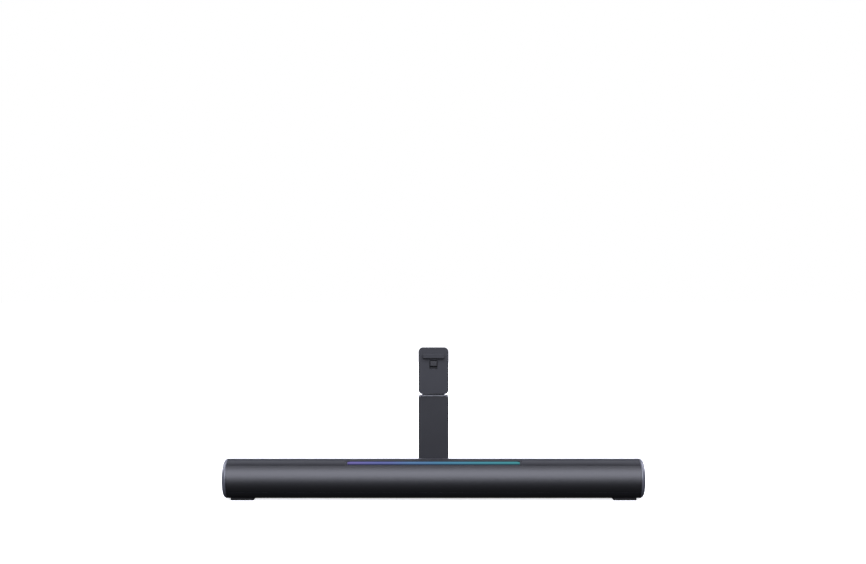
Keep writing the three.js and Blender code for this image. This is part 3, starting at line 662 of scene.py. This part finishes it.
# The frame's section, from its outer foot over its top to its inner foot: the share of its width
# along the bar, the same round it, and the height over the skins.
BEZEL_ROWS = [
    (0, 0, -BEZEL_DEPTH),
    (0, 0, -0.2 * MM),
    (0.12, 0.12, -0.05 * MM),
    (0.3, 0.3, 0),
    (0.75, 0.7, 0),
    (0.93, 0.9, -0.08 * MM),
    (1, 1, -STRIP_SINK),
    (1, 1, -BEZEL_DEPTH),
]


def build_bezel():
    """A slim frame round the strip: a rib swept round a rounded rectangle on the bar's surface."""
    reach = STRIP_REACH + BEZEL_BORDER
    side = BEZEL_HALF - STRIP_HALF - BEZEL_GAP
    vertices, faces = [], []
    for share_x, share_s, height in BEZEL_ROWS:
        inset_x, inset_s = share_x * side, share_s * BEZEL_LIP
        ring = rounded_outline(BEZEL_HALF - inset_x, reach - inset_s, BEZEL_CORNER - inset_s)
        vertices += [on_bar(x, STRIP_MIDDLE + s / RADIUS, RADIUS + height) for x, s in ring]
    size = len(vertices) // len(BEZEL_ROWS)
    for row in range(len(BEZEL_ROWS)):
        a, b = row * size, (row + 1) % len(BEZEL_ROWS) * size
        faces += [(a + i, a + (i + 1) % size, b + (i + 1) % size, b + i) for i in range(size)]
    obj = new_object("light_frame", vertices, faces)
    fix_normals(obj)
    obj.data.set_sharp_from_angle(angle=SMOOTH_STRIP)
    stand_for(obj, "light_bezel", MATERIALS["satin_shell"])


def guide_column(share, rows):
    """One line across the strip's face, at a share of its half length, as (x, around, crown)."""
    close_up = abs(share) > 0.98
    x = STRIP_HALF * (math.sin(share * math.pi / 2) if close_up else share)
    inside = max(0.0, abs(x) - (STRIP_HALF - STRIP_CORNER))
    curve = math.sqrt(max(0.0, STRIP_CORNER * STRIP_CORNER - inside * inside))
    reach = STRIP_REACH - STRIP_CORNER + curve
    places = [j / rows * 2 - 1 for j in range(rows + 1)]
    return [(x, reach * place, STRIP_CROWN * abs(place) ** 4) for place in places]


def guide_faces(columns, rows):
    """The strip's upper and lower sheets and the four sides that close them."""
    layer = (columns + 1) * (rows + 1)
    faces = []
    for i in range(columns):
        for j in range(rows):
            a = i * (rows + 1) + j
            quad = (a, a + 1, a + rows + 2, a + rows + 1)
            faces.append(quad)
            faces.append(tuple(layer + k for k in reversed(quad)))
    for i in range(columns):
        for j in (0, rows):
            a = i * (rows + 1) + j
            faces.append((a, a + rows + 1, layer + a + rows + 1, layer + a))
    for j in range(rows):
        for i in (0, columns):
            a = i * (rows + 1) + j
            faces.append((a, a + 1, layer + a + 1, layer + a))
    return faces


def build_guide(columns=120, rows=8):
    """The strip's face, a little below the skins and rounded at its ends."""
    vertices, uv = [], []
    for level, crowned in ((RADIUS - STRIP_SINK, 1), (RADIUS - STRIP_DEPTH, 0)):
        for i in range(columns + 1):
            for x, s, crown in guide_column(i / columns * 2 - 1, rows):
                vertices.append(on_bar(x, STRIP_MIDDLE + s / RADIUS, level - crown * crowned))
                uv.append((x / STRIP_HALF / 2 + 0.5, s / STRIP_REACH / 2 + 0.5))
    obj = new_object("light_strip", vertices, guide_faces(columns, rows), uv)
    fix_normals(obj)
    obj.data.set_sharp_from_angle(angle=SMOOTH_STRIP)
    stand_for(obj, "light_guide", MATERIALS["light"])


# ------------------------------------------------------------------ the stand's other pieces
# How wide each piece's rounded edges are, and in how many steps they turn.
EDGES = {
    "base_plate": (1.1 * MM, 4),
    "neck_socket": (1.0 * MM, 4),
    "neck_core": (0.3 * MM, 2),
    "neck_front_cover": (0.4 * MM, 3),
    "neck_rear_cover": (0.4 * MM, 3),
    "tilt_head": (0.5 * MM, 3),
    "head_cover": (0.6 * MM, 4),
    "release_latch": (0.8 * MM, 4),
    "hinge_bracket": (0.3 * MM, 2),
    "left_rear_foot": (0.4 * MM, 3),
    "right_rear_foot": (0.4 * MM, 3),
    "left_front_foot": (0.2 * MM, 2),
    "right_front_foot": (0.2 * MM, 2),
    "hinge_nut": (0.2 * MM, 2),
    "hinge_pin": (0.2 * MM, 2),
}


def build_refined():
    """Pieces whose CAD shape is right and only lacks its rounded edges."""
    for node, (width, segments) in EDGES.items():
        stand_for(refined(node, width, segments), node, MATERIALS[SLOT_OF[node]])


def coil(centre, foot, rise, radius, wire, turns, steps=24, sides=8):
    """A round wire's vertices and faces along an upright helix."""
    total = turns * steps
    up = Vector((0, 0, 1))
    vertices, faces = [], []
    for i in range(total + 1):
        bend = i / steps * 2 * math.pi
        out = Vector((math.cos(bend), math.sin(bend), 0))
        spot = Vector((centre.x, centre.y, foot + rise * i / total)) + out * radius
        for k in range(sides):
            roll = k / sides * 2 * math.pi
            vertices.append(spot + (out * math.cos(roll) + up * math.sin(roll)) * wire)
    for i in range(total):
        for k in range(sides):
            a, b = i * sides + k, i * sides + (k + 1) % sides
            faces.append((a, b, b + sides, a + sides))
    last = total * sides
    faces += [tuple(range(sides)), tuple(reversed(range(last, last + sides)))]
    return vertices, faces


def build_spring():
    """The latch's return spring, which shortens as the latch is pressed."""
    low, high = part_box("release_spring")
    centre = (low + high) / 2
    height = high.z - low.z
    radius = (high.x - low.x) / 2 - SPRING_WIRE
    foot, rise = low.z + SPRING_WIRE, height - 2 * SPRING_WIRE
    obj = new_object("release_coil", *coil(centre, foot, rise, radius, SPRING_WIRE, SPRING_TURNS))
    fix_normals(obj)
    stand_for(obj, "release_spring", MATERIALS["steel"])
    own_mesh(obj)


def paint_nodes():
    """Every CAD node gets its slot's finish, and those that no piece replaces show it."""
    for node, obj in frame["nodes"].items():
        material = MATERIALS[SLOT_OF[node]]
        if obj.material_slots:
            for slot in obj.material_slots:
                slot.link = "OBJECT"
                slot.material = material
        else:
            obj.data.materials.append(material)


# ------------------------------------------------------------------ studio
CAMERA_BACK = 1.300
CAMERA_ABOVE = 0.212
CAMERA_SIDE = -0.0006

FLOOR_REACH = 12
FLOOR_FADE = 2.5  # metres from the middle to where the floor glows as the backdrop does
FLOOR_GLOW_NEAR = 0.62
FLOOR_GLOW_FAR = 1.0
FLOOR_BOUNCE = 0.032

ROOM_GLOW = (0.045, 0.0465, 0.052, 1)
BACKDROP = (1, 1, 1, 1)

LIGHT_TINT = (0.93, 0.945, 1.1)

# Each soft box: azimuth and elevation from the bar, with 0 in front of it, distance, size, power.
LIGHTS = {
    "key": (0, 34.5, 2.2, (3.2, 2.2), 119),
    "over": (180, 62, 2.0, (3.0, 1.1), 16),
    "rear": (180, 10, 2.2, (3.0, 0.5), 24),
    "left_fill": (-105, 34, 2.0, (1.2, 1.0), 21),
    "right_fill": (105, 34, 2.0, (1.2, 1.0), 21),
}


def build_camera():
    data = bpy.data.cameras.new("camera")
    data.lens = 50
    data.sensor_width = 36
    data.clip_start = 0.05
    camera = bpy.data.objects.new("camera", data)
    camera.location = (CAMERA_SIDE, AXIS_Y - CAMERA_BACK, AXIS_Z + CAMERA_ABOVE)
    camera.rotation_euler = (math.radians(90), 0, 0)
    bpy.context.scene.collection.objects.link(camera)
    bpy.context.scene.camera = camera


def area_light(name, azimuth, elevation, distance, size, power):
    """A soft box aimed at the bar, which the camera doesn't see."""
    data = bpy.data.lights.new(name, "AREA")
    data.shape = "RECTANGLE"
    data.size, data.size_y = size
    data.energy = power
    data.color = LIGHT_TINT
    light = bpy.data.objects.new(name, data)
    around, up = math.radians(azimuth), math.radians(elevation)
    level = math.cos(up)
    away = Vector((math.sin(around) * level, -math.cos(around) * level, math.sin(up)))
    light.location = Vector((0, AXIS_Y, AXIS_Z)) + away * distance
    light.visible_camera = False
    light.rotation_euler = away.to_track_quat("Z", "Y").to_euler()
    bpy.context.scene.collection.objects.link(light)


def build_lights():
    for name, setting in LIGHTS.items():
        area_light(name, *setting)


def floor_material():
    """Pale, and whiter with distance. What it throws back on the bar is kept low."""
    nodes = Nodes("floor")
    nodes.constant(color=(0.8, 0.8, 0.8), rough=0.9, specular=0.0)
    place = nodes.node("ShaderNodeTexCoord")
    distance = nodes.node("ShaderNodeVectorMath", operation="LENGTH")
    nodes.link(place.outputs["Object"], distance.inputs[0])
    share = nodes.math("DIVIDE", distance.outputs["Value"], FLOOR_FADE, clamp=True)
    glow = nodes.spread(share, FLOOR_GLOW_NEAR, FLOOR_GLOW_FAR)
    nodes.link(glow, nodes.shader.inputs["Emission Strength"])
    nodes.shader.inputs["Emission Color"].default_value = (1, 1, 1, 1)
    path = nodes.node("ShaderNodeLightPath")
    dim = nodes.node("ShaderNodeEmission")
    dim.inputs["Strength"].default_value = FLOOR_BOUNCE
    mix = nodes.node("ShaderNodeMixShader")
    nodes.link(path.outputs["Is Camera Ray"], mix.inputs[0])
    nodes.link(dim.outputs["Emission"], mix.inputs[1])
    nodes.link(nodes.shader.outputs["BSDF"], mix.inputs[2])
    nodes.link(mix.outputs["Shader"], nodes.tree.nodes["Material Output"].inputs["Surface"])
    return nodes.material


def build_floor():
    """A wide floor that runs into the white backdrop."""
    reach = FLOOR_REACH
    corners = [(-reach, -reach, 0), (reach, -reach, 0), (reach, reach, 0), (-reach, reach, 0)]
    floor = new_object("floor", corners, [(0, 1, 2, 3)], smooth=False)
    floor.data.materials.append(floor_material())


def build_world():
    """White to look at, but a dim room to light the bar."""
    world = bpy.data.worlds.new("studio")
    bpy.context.scene.world = world
    world.use_nodes = True
    tree = world.node_tree
    path = tree.nodes.new("ShaderNodeLightPath")
    mix = tree.nodes.new("ShaderNodeMix")
    mix.data_type = "RGBA"
    mix.inputs["A"].default_value = ROOM_GLOW
    mix.inputs["B"].default_value = BACKDROP
    tree.links.new(path.outputs["Is Camera Ray"], mix.inputs["Factor"])
    tree.links.new(mix.outputs["Result"], tree.nodes["Background"].inputs["Color"])


bpy.context.scene.view_settings.view_transform = "Standard"
build_camera()
build_skins()
build_caps()
build_bezel()
build_guide()
build_refined()
build_spring()
paint_nodes()
build_floor()
build_world()
build_lights()
